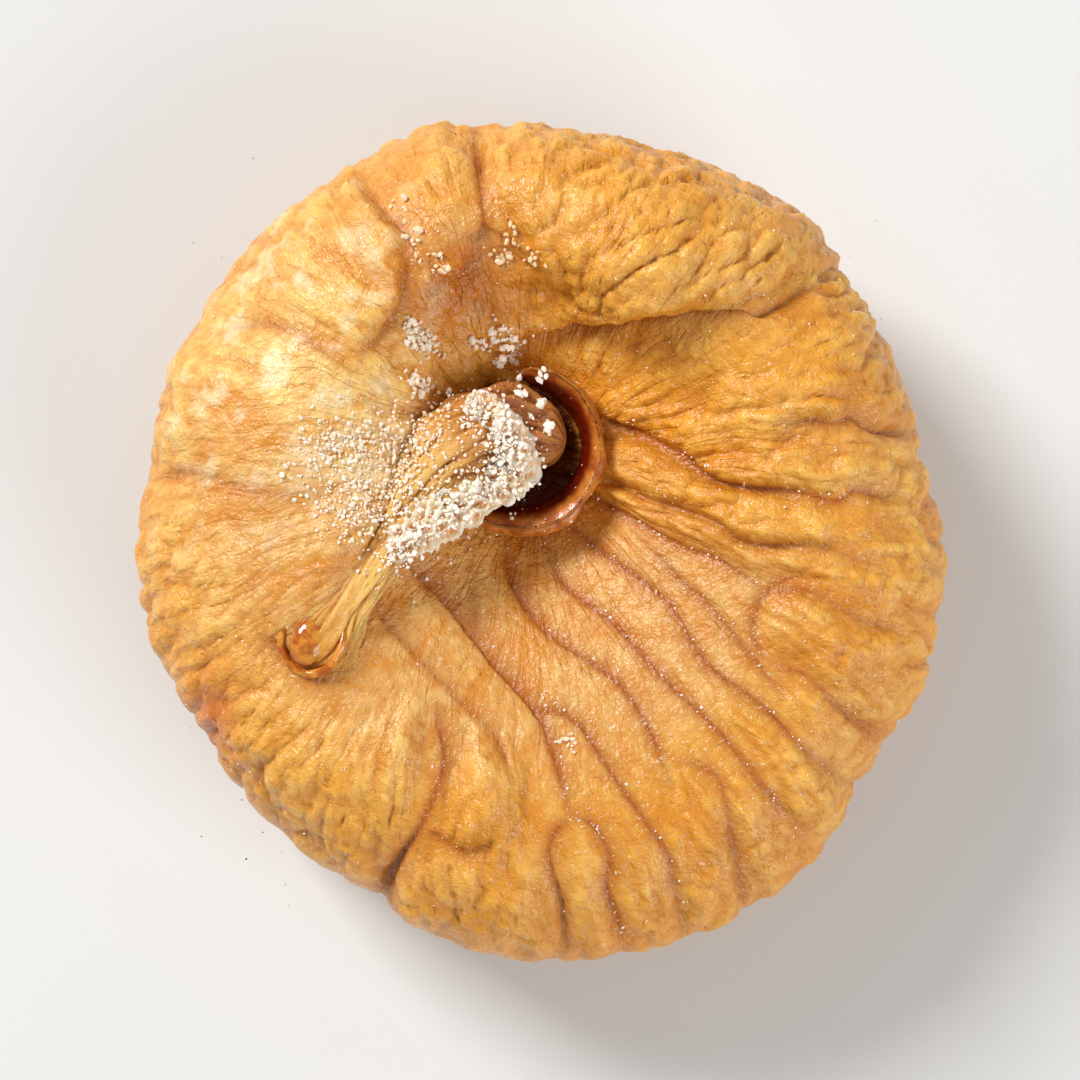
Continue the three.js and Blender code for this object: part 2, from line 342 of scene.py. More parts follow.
def lattice_direction(cell, seed):
    """A repeatable direction, not quite of unit length, for every whole-numbered place of a lattice."""
    column, row, layer = np.moveaxis(cell, -1, 0)
    n = column * 374761393 + row * 668265263 + layer * 1440662683 + seed * 974634777
    parts = []
    for prime in (1274126177, 1103515245, 2654435761):
        m = (n * prime) & 0xFFFFFFFF
        m = ((m ^ (m >> 15)) * 2246822519) & 0xFFFFFFFF
        parts.append(((m ^ (m >> 13)) & 0xFFFF) / 32767.5 - 1)
    return np.stack(parts, axis=-1)


def noise(p, seed):
    """Gradient noise, about -1 to 1: slopes at a cell's eight corners, blended by 6t^5 - 15t^4 + 10t^3."""
    cell = np.floor(p).astype(np.int64)
    t = p - cell
    fade = t * t * t * (t * (t * 6 - 15) + 10)
    total = 0
    for corner in np.ndindex(2, 2, 2):
        step = np.array(corner)
        weight = np.prod(np.where(step == 1, fade, 1 - fade), axis=-1)
        total = total + weight * (lattice_direction(cell + step, seed) * (t - step)).sum(-1)
    return total * 1.5


def wrinkles(p, seed, sharpness=4.5):
    """1 on rounded ridges, 0 in the thin valleys where noise crosses 0: 1 - exp(-sharpness |noise|)."""
    return 1 - np.exp(-sharpness * np.abs(noise(p, seed)))


def rounded(share, reach):
    """A quarter circle that rises from 0 to 1 while share runs from 0 to reach: root of 1 - (1 - t)^2."""
    return np.sqrt(np.clip(1 - (1 - np.clip(share / reach, 0, 1)) ** 2, 0, 1))


def round_the_tube(angle, t, girth, length):
    """Places on a cylinder of that girth and length, where a swept body's noise is read."""
    across, up = np.cos(angle) * girth + 0 * t, np.sin(angle) * girth + 0 * t
    return np.stack([across, up, t * length + 0 * angle], -1)


# ------------------------------------------------------------------ meshes


def grid_faces(rows, around):
    """Corner numbers of a tube of quads, rows by around, closed at each end by a fan to one last point."""
    r, c = np.meshgrid(np.arange(rows - 1), np.arange(around), indexing="ij")
    here, beside = r * around + c, r * around + (c + 1) % around
    quads = np.stack([here, here + around, beside + around, beside], -1)
    first, last = rows * around, rows * around + 1
    ring = np.arange(around)
    after = (ring + 1) % around
    base = (rows - 1) * around
    top = np.stack([np.full(around, first), ring, after], -1)
    bottom = np.stack([base + ring, np.full(around, last), base + after], -1)
    return quads.reshape(-1, 4), np.vstack([top, bottom])


def new_piece(name, points, quads, triangles, material, masks=None):
    """A smooth-shaded mesh from points in millimetres, its faces, and one number a point for each mask."""
    mesh = bpy.data.meshes.new(name)
    corners = np.concatenate([quads.ravel(), triangles.ravel()]).astype(np.int32)
    sizes = np.concatenate([np.full(len(quads), 4), np.full(len(triangles), 3)]).astype(np.int32)
    starts = np.concatenate([[0], np.cumsum(sizes)[:-1]]).astype(np.int32)
    mesh.vertices.add(len(points))
    mesh.loops.add(len(corners))
    mesh.polygons.add(len(sizes))
    mesh.vertices.foreach_set("co", (points * MM).astype(np.float32).ravel())
    mesh.loops.foreach_set("vertex_index", corners)
    mesh.polygons.foreach_set("loop_start", starts)
    mesh.update(calc_edges=True)
    for label, values in (masks or {}).items():
        attribute = mesh.attributes.new(label, "FLOAT", "POINT")
        attribute.data.foreach_set("value", values.astype(np.float32))
    mesh.validate()
    mesh.shade_smooth()
    mesh.materials.append(material)
    piece = bpy.data.objects.new(name, mesh)
    bpy.context.scene.collection.objects.link(piece)
    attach(piece, "root")
    return piece


NO_QUADS = np.zeros((0, 4), int)


def tube_piece(name, grid, ends, material, masks=None):
    """A closed piece from a grid of rows by around points and its two end points."""
    rows, around = grid.shape[:2]
    quads, fans = grid_faces(rows, around)
    points = np.vstack([grid.reshape(-1, 3), ends])
    return new_piece(name, points, quads, fans, material, masks)


# ------------------------------------------------------------------ the fruit's skin


def profile(angle, stretch, t):
    """A point on the plain fruit, before any fold. t runs 0 to 1 along each stretch of a meridian.

    hollow: out from the lowest place to the crest, its height rising as sin(90t)^floor.
    rim: a quarter of an ellipse from the crest to the waist. turn: another from the waist to the foot's
    edge. foot: level, in to the eye, which is a soft dimple.
    """
    radius = round_list(OUTLINE, angle)
    crest_share, crest = round_list(CREST_SHARE, angle), round_list(CREST_HEIGHT, angle)
    waist = round_list(WAIST_HEIGHT, angle)
    edge_x, edge_y = radius * np.cos(angle), radius * np.sin(angle)
    if stretch == "hollow":
        share = crest_share * t
        height = mix(HOLLOW[2], crest, np.sin(TAU / 4 * t) ** round_list(FLOOR, angle))
    elif stretch == "rim":
        share = mix(crest_share, 1, np.sin(TAU / 4 * t))
        height = mix(waist, crest, np.cos(TAU / 4 * t))
    elif stretch == "turn":
        share = mix(FOOT_SHARE, 1, np.cos(TAU / 4 * t))
        height = waist * (1 - np.sin(TAU / 4 * t))
    else:
        share = FOOT_SHARE * (1 - t) + 0 * angle
        height = EYE_DEPTH * ramp(1 - radius * share / EYE_RADIUS, 0, 1)
    pull = 1 - share if stretch in ("hollow", "rim") else 0
    return np.stack([edge_x * share + HOLLOW[0] * pull, edge_y * share + HOLLOW[1] * pull, height], -1)


def plain_fruit():
    """The plain fruit's points, row by row from the hollow to the eye, without the two poles."""
    angle = np.arange(AROUND)[None, :] / AROUND * TAU
    rows = []
    for stretch, count in ROWS.items():
        t = np.arange(count)[:, None] / count
        if stretch == "hollow":
            t = (t + 1 / count) * count / (count + 1)
        if stretch == "foot":
            t = t * count / (count + 1)
        rows.append(profile(angle, stretch, t))
    return np.vstack(rows)


def grid_normals(grid):
    """Unit normals of a grid whose rows are closed rings: the cross product of its two slopes."""
    around = np.roll(grid, -1, axis=1) - np.roll(grid, 1, axis=1)
    along = np.gradient(grid, axis=0)
    normal = np.cross(along, around)
    return normal / np.maximum(np.linalg.norm(normal, axis=-1, keepdims=True), 1e-9)


def crease_field(x, y, z):
    """How far the named creases push the skin in, and how much painted shade lies in a crease, from 0 to 1.

    A crease is a broad cusp, exp(-distance / width), with its own width on each hand, and a thin nick at
    its bottom. It thins out towards its ends and low on the side. The swelling on its left is a bell.
    """
    push = np.zeros(x.shape)
    crease_shade = np.zeros(x.shape)
    for route, depth, left, right, lip in CREASES.values():
        away, side, run = near_route(route, x, y, CREASE_REACH)
        depth, left, right = depth * CUT, left * SPREAD, right * SPREAD
        width = np.where(side > 0, left, right)
        strength = ramp(run, -0.12, 0.18) * ramp(run, 1.15, 0.8) * ramp(z, 1.5, 7)
        nick = np.exp(-((away / NICK) ** 2))
        cusp = ((1 - NICK_SHARE) * np.exp(-away / width) + NICK_SHARE * nick) * strength
        bell = np.exp(-(((away - 1.6 * left) / (1.3 * left)) ** 2))
        swell = np.where(side > 0, bell, 0) * strength
        crossing = 0.15 * np.minimum(push, depth * cusp)
        push = np.maximum(push, depth * cusp) + crossing - lip * swell
        # Painted shade: a dark line down the crease, darker for deeper creases.
        dark = min(depth, SHADE_LINE_DEPTH) / SHADE_LINE_DEPTH * np.exp(-away / SHADE_LINE_WIDTH) * strength
        crease_shade = np.maximum(crease_shade, dark)
    return push, crease_shade


def swelling_field(x, y, z):
    """The sum of turned bells, only on the upper side."""
    total = np.zeros(x.shape)
    for (cx, cy), (half_along, half_across), turn, height in SWELLINGS:
        c, s = math.cos(math.radians(turn)), math.sin(math.radians(turn))
        along, across = (x - cx) * c + (y - cy) * s, (y - cy) * c - (x - cx) * s
        total += height * np.exp(-((along / half_along) ** 2) - (across / half_across) ** 2)
    return total * ramp(z, 5, 11)


def ribs(angle, length_run, radius, spacing, seed):
    """Ribs that run down the meridians about one spacing apart, from 0 in the valleys to 1 on the ridges.

    Wrinkles are read on a cylinder whose girth sets how many go round. Bands of 12, 24, 48 and so on are
    blended by how near each comes to the wanted spacing at that radius, so that ribs fork as they widen.
    """
    total, weights = 0, 1e-6
    for doubling in range(6):
        count = 12 * 2**doubling
        weight = np.exp(-((np.log2(TAU * np.maximum(radius, 0.5) / count / spacing) / 0.6) ** 2))
        girth = count / TAU
        drawn_out = length_run / (3.2 * spacing)
        place = np.stack([np.cos(angle) * girth, np.sin(angle) * girth, drawn_out], -1)
        total = total + weight * wrinkles(place, seed + doubling)
        weights = weights + weight
    return total / weights


def bell_at(x, y, middle, reach):
    """A bell over a place, exp(-(dx / reach x)^2 - (dy / reach y)^2)."""
    return np.exp(-(((x - middle[0]) / reach[0]) ** 2) - ((y - middle[1]) / reach[1]) ** 2)


def skin_regions(x, y, z, radius):
    """Where the skin is of which kind, each from 0 to 1.

    cheek: the nearly smooth left. lobe: the pillow on the upper right. wall: the crinkled upper wall of
    the hollow. fan: the waxy pleats on the lower right. waist, low_side and under go down the outside.
    """
    upper = ramp(z, 7, 13)
    under = ramp(z, EVEN_HEIGHT, 0.3)
    ring_x, ring_y = SCALE["middle"]
    return {
        "upper": upper,
        "under": under,
        "top": ramp(z, 10, 16),
        "waist": (1 - upper) * (1 - under),
        "low_side": ramp(z, 8.5, 5) * (1 - under),
        "cheek": bell_at(x, y, (-15, 10), (9, 11)) * upper,
        "lobe": ramp(y, 12.2, 14.5) * ramp(x, -1, 4) * upper,
        "wall": bell_at(x, y, (-4.2, 15.2), (3.6, 3.4)) * upper,
        "fan": ramp(y + 0.25 * x, 4.5, 0) * ramp(radius, 23, 16) * upper,
        "rim_glow": ramp(z, 17, 9) * upper,
        # Under the scale the skin is painted dark: the scale's red inner wall and painted shade.
        "cup_red_and_shade": ramp(np.hypot(x - ring_x, y - ring_y), 4.6, 3.9) * upper,
        "blush": bell_at(x, y, (-19.4, -10.6), (1.6, 3.4)),
        "frost": bell_at(x, y, (-9.5, 4.6), (4.5, 3.4)) * upper,
    }


def wrinkle_families(plain, angle, radius, length_run, bend):
    """Every family of wrinkles by its name: ribs of three sizes, slanted ones, cells, lumps and a wave."""
    x, y, z = np.moveaxis(plain, -1, 0)
    c, s = math.cos(SLANT), math.sin(SLANT)
    slanted = np.stack([(x * c + y * s) / 4.5, (y * c - x * s) / 1.3 + bend * 3, z / 3], -1)
    return {
        "broad": ribs(angle, length_run, radius, 3.4, SEED + 10),
        "middle": ribs(angle, length_run, radius, 1.5, SEED + 20),
        "fine": ribs(angle, length_run, radius, 0.75, SEED + 30),
        "slant": wrinkles(slanted, SEED + 40),
        "fine_slant": wrinkles(slanted * 2.1, SEED + 41),
        "cells": wrinkles(plain / 1.7 + bend[..., None], SEED + 50, 3.5),
        "small_cells": wrinkles(plain / 0.85, SEED + 60, 3.5),
        "lumps": noise(plain / 1.3, SEED + 70),
        "wave": noise(plain / 7.5, SEED + 80),
    }


def skin_relief(w, r):
    """All wrinkles together, in millimetres: each family in w, as strongly as the regions in r show it."""
    broad_top, broad_waist, broad_low = WRINKLE_HEIGHT["broad"]
    middle_top, middle_waist, middle_low = WRINKLE_HEIGHT["middle"]
    above = 1 - r["under"]
    calm = (1 - 0.75 * r["cheek"]) * (1 - 0.75 * r["lobe"]) * (1 - 0.8 * r["fan"])
    half_calm = (1 - 0.7 * r["cheek"]) * (1 - 0.8 * r["lobe"]) * (1 - 0.45 * r["fan"])
    broad = broad_top * r["upper"] * calm + broad_waist * r["waist"] + broad_low * r["low_side"]
    middle = middle_top * r["upper"] * half_calm + middle_waist * r["waist"] + middle_low * r["low_side"]
    cells = (1 - 0.85 * r["cheek"]) * (1 - 0.7 * r["fan"]) * (0.15 + 0.85 * r["top"]) * above
    small_cells = (1 - 0.75 * r["cheek"]) * (1 - 0.65 * r["fan"]) * (0.2 + 0.8 * r["top"]) * above
    return (
        w["wave"] * mix(*WAVE_HEIGHT, r["under"])
        + w["broad"] * broad
        + w["middle"] * middle
        + w["fine"] * FINE_HEIGHT * (0.3 + 0.7 * r["top"]) * above
        + w["slant"] * SLANT_HEIGHT * r["lobe"]
        + w["fine_slant"] * FINE_SLANT_HEIGHT * r["lobe"]
        + w["cells"] * (CELL_HEIGHT * cells + WALL_HEIGHT["cells"] * r["wall"])
        + w["small_cells"] * (SMALL_CELL_HEIGHT * small_cells + WALL_HEIGHT["small_cells"] * r["wall"])
        + w["lumps"] * WALL_HEIGHT["lumps"] * r["wall"]
    )


def fruit_surface():
    """The wrinkled skin: its grid of points and its masks."""
    plain = plain_fruit()
    normal = grid_normals(plain)
    x, y, z = np.moveaxis(plain, -1, 0)
    step = np.linalg.norm(np.diff(plain, axis=0, prepend=plain[:1]), axis=-1)
    length_run = np.cumsum(step, axis=0)
    angle = np.arctan2(y - HOLLOW[1], x - HOLLOW[0])
    radius = np.hypot(x - HOLLOW[0], y - HOLLOW[1])

    # Places are bent a little before any ribs are read, so that none runs ruler-straight.
    bend = noise(plain / 5.0, SEED) * 0.14 + noise(plain / 2.0, SEED + 1) * 0.05
    bent_angle = angle + bend * 5 / np.maximum(radius, 5)
    bent_run = length_run + noise(plain / 4.0, SEED + 2) * 2

    push, crease_shade = crease_field(x, y, z)
    regions = skin_regions(x, y, z, radius)
    families = wrinkle_families(plain, bent_angle, radius, bent_run, bend)
    upper, lobe = regions["upper"], regions["lobe"]
    lift = (skin_relief(families, regions) - REST_LEVEL) * (1 - regions["under"])
    lift += swelling_field(x, y, z) - push
    lift *= ramp(radius, 0, 2) * upper + (1 - upper)
    grid = plain + normal * lift[..., None]
    grid[..., 2] = np.maximum(grid[..., 2], z * ramp(z, 0, 0.4))

    ridges = families["broad"] * (1 - lobe) + families["slant"] * lobe
    raised = 0.5 * ridges + 0.3 * families["middle"] + 0.2 * families["cells"]
    finely_raised = 0.35 * families["fine"] + 0.35 * families["cells"] + 0.45 * families["small_cells"]
    masks = {name: regions[name] for name in ("cheek", "fan", "rim_glow", "wall", "cup_red_and_shade", "blush", "frost")}
    masks["crease_shade"] = np.clip(crease_shade, 0, 1)
    # Painted shade: how far down in the valleys of the wrinkles each place lies, broad and fine.
    masks["fold_shade"] = 1 - np.clip(raised, 0, 1)
    masks["dip_shade"] = 1 - np.clip(finely_raised, 0, 1)
    masks["turned_x"] = np.cos(bent_angle)
    masks["turned_y"] = np.sin(bent_angle)
    masks["outwards"] = bent_run
    return grid, masks


def fit_to_solid(grid, node):
    """Stretches a grid across and along so that it is exactly as wide and as long as its solid."""
    low, high = (np.array(corner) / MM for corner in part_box(node))
    own_low, own_high = grid.reshape(-1, 3).min(axis=0), grid.reshape(-1, 3).max(axis=0)
    scale = (high - low)[:2] / (own_high - own_low)[:2]
    grid[..., :2] = low[:2] + (grid[..., :2] - own_low[:2]) * scale
    return grid


def make_fruit(material):
    """The fruit's skin as one closed piece, with the mean of its first and last rows as poles."""
    grid, masks = fruit_surface()
    grid = fit_to_solid(grid, "fig_body")
    ends = np.array([grid[0].mean(axis=0), grid[-1].mean(axis=0)])
    flat = {}
    for label, values in masks.items():
        flat[label] = np.concatenate([values.ravel(), [values[0].mean(), values[-1].mean()]])
    fruit = tube_piece("fig_skin", grid, ends, material, flat)
    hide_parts("fig_body")
    return grid


# ------------------------------------------------------------------ heights, for what lies on the skin


class HeightMap:
    """The greatest height over each square of a plan, so that pieces lie on what is already there."""

    CELL = 0.4
    HALF = 32

    def __init__(self):
        count = int(2 * self.HALF / self.CELL)
        self.heights = np.full((count, count), -np.inf)

    def square(self, x, y):
        """The square that holds a place."""
        return tuple(((np.asarray(v) + self.HALF) / self.CELL).astype(int) for v in (x, y))

    def add(self, points):
        """Raises each square to the highest of the points in it."""
        np.maximum.at(self.heights, self.square(points[..., 0], points[..., 1]), points[..., 2])

    def at(self, x, y):
        """The height at each place."""
        return self.heights[self.square(x, y)]


# ------------------------------------------------------------------ stem, tip and scale


def swept(route, around, section):
    """A closed body along a route in space: a grid of points and the two ends.

    section(angle, t) gives how far each point stands to the route's right and upwards. The sideways
    direction is level and square to the route, and upwards is square to both.
    """
    curve = smooth_route(route, 14)
    run = np.linspace(0, 1, len(curve))
    ahead = np.gradient(curve, axis=0)
    ahead /= np.linalg.norm(ahead, axis=-1, keepdims=True)
    right = np.stack([ahead[:, 1], -ahead[:, 0], 0 * run], -1)
    right /= np.linalg.norm(right, axis=-1, keepdims=True)
    up = np.cross(right, ahead)
    angle = np.arange(around)[None, :] / around * TAU
    sideways, upwards = section(angle, run[:, None])
    grid = curve[:, None] + sideways[..., None] * right[:, None] + upwards[..., None] * up[:, None]
    return grid[1:-1], curve[[0, -1]]


def laid_route(ground, points, smoothing):
    """A route seen from above, finely divided, and the ground's height along it, evened out.

    Each height becomes the mean of itself and of smoothing more to each side.
    """
    plan = smooth_route(points, 6)
    window = 2 * smoothing + 1
    heights = np.pad(ground.at(plan[:, 0], plan[:, 1]), smoothing, mode="edge")
    return plan, np.convolve(heights, np.ones(window) / window, mode="valid")


def along(stations, t):
    """Stations spaced evenly along a run, read at any share t of it in straight lines."""
    return np.interp(t, np.linspace(0, 1, len(stations)), stations)


def make_stem(ground, material):
    """The stem: a thick round end that thins into a flattened strap, ribbed along its fibres.

    Its section is an ellipse whose half width follows the list of half widths. Both ends are rounded.
    Fibres are wrinkles read on a cylinder and drawn out along the run.
    """
    plan, heights = laid_route(ground, STEM_ROUTE, 4)
    route = np.column_stack([plan, heights + along(STEM_LIFT, np.linspace(0, 1, len(plan)))])
    streaks = []

    def section(angle, t):
        """An ellipse, pressed in between the fibres, and knotted by a slower noise."""
        ends = rounded(t, 0.17) * rounded(1 - t, 0.07)
        fibres = wrinkles(round_the_tube(angle, t, 2.6, 3.5), SEED + 90)
        fine = wrinkles(round_the_tube(angle, t, 5.5, 7), SEED + 91)
        knots = noise(round_the_tube(angle, t, 1.2, 12), 5)
        calm = ramp(t, 0.0, 0.1)
        swell = 1.0 - calm * (0.3 * (1 - fibres) + 0.14 * (1 - fine)) + 0.15 * knots
        streaks.append(1 - 0.6 * fibres - 0.4 * fine)
        tall = mix(ROUND_TALLNESS, STRAP_TALLNESS, ramp(t, 0.15, 0.55))
        size = along(STEM_HALF_WIDTH, t) * ends * swell
        return size * np.cos(angle), -size * tall * np.sin(angle)

    grid, ends = swept(route, 120, section)
    run = np.linspace(0, 1, len(grid))[:, None] + np.zeros((1, grid.shape[1]))
    masks = {
        "run": np.concatenate([run.ravel(), [0, 1]]),
        "streak": np.concatenate([streaks[0][1:-1].ravel(), [0, 0]]),
    }
    stem = tube_piece("stem", grid, ends, material, masks)
    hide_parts("stem")
    ground.add(grid)


def make_scale(ground, material):
    """The curled scale: a strip stood on edge round the stem's end.

    Its section is an ellipse that leans outwards, fat in its rolled upper edge. It is widest on the side
    away from the hollow's wall, thins towards both tips, and ripples a little all along.
    """
    rows, around = 110, 44
    t = np.linspace(0, 1, rows)[:, None]
    section = np.arange(around)[None, :] / around * TAU
    turn = np.radians(mix(SCALE["from"], SCALE["to"], t))
    tips = np.minimum(t, 1 - t) / 0.22
    full = np.sqrt(np.clip(1 - (1 - np.clip(tips, 0, 1)) ** 2, 0.02, 1))
    width = full * (0.46 + 0.34 * np.exp(-(((t - 0.72) / 0.3) ** 2)))
    height = full * SCALE["height"] / 2
    c, s = np.cos(section), np.sin(section)
    place = np.stack([np.cos(turn) * 3 + 0 * c, np.sin(turn) * 3 + 0 * c, s + 0 * turn], -1)
    ripple, pits = noise(place, 7), noise(place * 3, 8)
    across = width * c * (1 + 0.35 * s) * (1 + 0.3 * ripple + 0.15 * pits)
    upwards = height * s * (1 + 0.12 * ripple + 0.05 * pits)
    lean = np.where(c < 0, 0.42, 0.2)
    radius = SCALE["radius"] + across + lean * upwards + 0.15 * ripple
    x = SCALE["middle"][0] + radius * np.cos(turn)
    y = SCALE["middle"][1] + radius * np.sin(turn)
    foot = HOLLOW[2] + SCALE["over_hollow"]
    grid = np.stack([x, y, foot + upwards + 0 * turn], -1)[:, ::-1]
    ends = np.array([grid[0].mean(axis=0), grid[-1].mean(axis=0)])
    inner = (ramp(-c + 0 * t, 0.0, 0.5) * ramp(s + 0 * t, 0.85, 0.45))[:, ::-1]
    masks = {"inner": np.concatenate([inner.ravel(), [0, 0]])}
    scale = tube_piece("stem_scale", grid, ends, material, masks)
    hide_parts("stem_scale")
    ground.add(grid)


# ------------------------------------------------------------------ sugar


def icosahedron():
    """The 12 corners and 20 faces of a regular icosahedron of radius 1."""
    gold = (1 + math.sqrt(5)) / 2
    corners = []
    for a in (-1, 1):
        for b in (-gold, gold):
            corners += [(0, a, b), (a, b, 0), (b, 0, a)]
    corners = np.array(corners) / math.hypot(1, gold)
    edge = np.linalg.norm(corners[0] - corners, axis=1)
    edge = np.sort(edge)[1] * 1.01
    faces = []
    for i in range(12):
        for j in range(i + 1, 12):
            for k in range(j + 1, 12):
                a, b, c = corners[[i, j, k]]
                if max(np.linalg.norm(a - b), np.linalg.norm(b - c), np.linalg.norm(a - c)) < edge:
                    outwards = np.dot(np.cross(b - a, c - a), a + b + c) > 0
                    faces.append((i, j, k) if outwards else (i, k, j))
    return corners, np.array(faces)


def scattered(rng, ground, centres, sizes):
    """Grains: one icosahedron a centre, turned at random, its corners shifted and its axes stretched."""
    corners, faces = icosahedron()
    count = len(sizes)
    turn = np.linalg.qr(rng.normal(size=(count, 3, 3)))[0]
    turn *= np.sign(np.linalg.det(turn))[:, None, None]
    shape = corners[None] * (1 + rng.uniform(-0.3, 0.3, (count, 12, 1)))
    shape = shape * rng.uniform(0.5, 1.3, (count, 1, 3))
    shape = shape @ turn
    shape[..., 2] *= GRAIN_FLATNESS
    z = ground.at(centres[:, 0], centres[:, 1])
    middle = np.column_stack([centres, z + sizes * rng.uniform(-0.1, 0.5, count)])
    points = middle[:, None] + shape * sizes[:, None, None]
    return points, faces


def make_froth(ground, material):
    """The thick sugar crust over the stem: a lumpy sheet with bubbles, laid along a route.

    Its section is a low ellipse. The thin walls between bubbles, of two sizes, stand where a noise crosses
    0, and push it up and out. Its edge wanders with a slow noise.
    """
    plan, heights = laid_route(ground, CRUST_ROUTE, 3)
    route = np.column_stack([plan, heights - FROTH_SUNK])
    open_share = []

    def section(angle, t):
        """A low ellipse, raised along the walls of the bubbles."""
        half = along(CRUST_HALF_WIDTH, t)
        ends = rounded(np.minimum(t, 1 - t), 0.08)
        c, s = np.cos(angle), np.sin(angle)
        place = np.stack([c * half, s + 0 * t, t * 14 + 0 * angle], -1)
        edge = 1 + 0.45 * noise(place * 0.9, SEED + 95)
        walls = 1 - wrinkles(place * 1.25, SEED + 96, 4)
        small_walls = 1 - wrinkles(place * 2.8, SEED + 97, 4)
        froth = np.clip(0.75 * walls + 0.45 * small_walls, 0, 1)
        open_share.append(1 - froth)
        return half * ends * edge * c * (0.8 + 0.35 * froth), -(0.15 + froth) * ends * s

    grid, ends = swept(route, 160, section)
    clear = np.concatenate([open_share[0][1:-1].ravel(), [0, 0]])
    froth = tube_piece("sugar_froth", grid, ends, material, {"clear": clear})
    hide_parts("sugar_crust")
    ground.add(grid)


def make_grains(rng, ground, material):
    """The single crystals: on the crust, the frost beside it, dust in the creases and all over."""
    crust = smooth_route(CRUST_ROUTE)
    creases = np.vstack([smooth_route(CREASES[name][0]) for name in DUSTED_CREASES])
    everywhere = [(x, y) for x in range(-18, 20, 4) for y in range(-18, 20, 4)]
    groups = [
        (420, crust, 0.6, 0.07, 0.2, 0.05),
        (420, crust, 1.1, 0.06, 0.17, 0.15),
        (700, smooth_route(FROST_ROUTE), (1.3, 1.1), 0.06, 0.16, 0.4),
        (420, smooth_route(LOW_FROST_ROUTE), (1.0, 0.9), 0.06, 0.16, 0.35),
        *CLUSTERS,
        (200, creases, 0.15, 0.04, 0.1, 0.3),
        (900, everywhere, 2.4, 0.03, 0.07, 0.3),
    ]
    centres, sizes, clear = [], [], []
    for count, places, spread, smallest, largest, clearness in groups:
        picks = rng.integers(0, len(places), count)
        centres.append(np.asarray(places)[picks] + rng.normal(size=(count, 2)) * spread)
        sizes.append(mix(smallest, largest, rng.random(count) ** 2))
        clear.append(clearness + rng.uniform(-0.1, 0.1, count))

    points, faces = scattered(rng, ground, np.vstack(centres), np.concatenate(sizes))
    count, corners = points.shape[:2]
    triangles = (faces[None] + np.arange(count)[:, None, None] * corners).reshape(-1, 3)
    masks = {"clear": np.repeat(np.concatenate(clear), corners)}
    grains = new_piece("sugar_grains", points.reshape(-1, 3), NO_QUADS, triangles, material, masks)
    grains.data.shade_flat()
    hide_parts("sugar_crust")


def make_tip(ground, material):
    """The stem's clear tip: an amber bead in a rim of set syrup.

    The bead is an egg. The rim is a thin cord along an open route round the bead, its ends sunk.
    """
    x, y = TIP
    z = ground.at(x, y)
    bead_route = [(x + 0.6, y + 1.6, z - 0.45), (x, y, z - 0.2), (x - 0.3, y - 1.4, z - 0.45)]

    def bead(angle, t):
        """A flattened circle whose size is the root of 1 - (2t - 1)^2."""
        full = np.sqrt(np.clip(1 - (2 * t - 1) ** 2, 0, 1))
        swell = full * (1 + 0.12 * noise(round_the_tube(angle, t, 1, 3), 9))
        return BEAD_HALF_WIDTH * swell * np.cos(angle), -BEAD_HALF_HEIGHT * swell * np.sin(angle)

    def cord(angle, t):
        """A small circle that tapers over the first and last third."""
        uneven = noise(round_the_tube(angle, t, 1, 6)[..., [2, 0, 1]], 4)
        full = rounded(np.minimum(t, 1 - t), 0.3) * (1 + 0.3 * uneven)
        return RIM_HALF_WIDTH * full * np.cos(angle), -RIM_HALF_HEIGHT * full * np.sin(angle)

    rim = np.array(TIP_RIM)
    rise = 0.12 - 0.5 * np.linspace(-1, 1, len(rim)) ** 4
    rim_route = np.column_stack([rim, ground.at(rim[:, 0], rim[:, 1]) + rise])
    for name, route, around, section in (
        ("stem_tip", bead_route, 40, bead),
        ("tip_rim", rim_route, 24, cord),
    ):
        piece = tube_piece(name, *swept(route, around, section), material)
        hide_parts("stem")


# ------------------------------------------------------------------ finishes


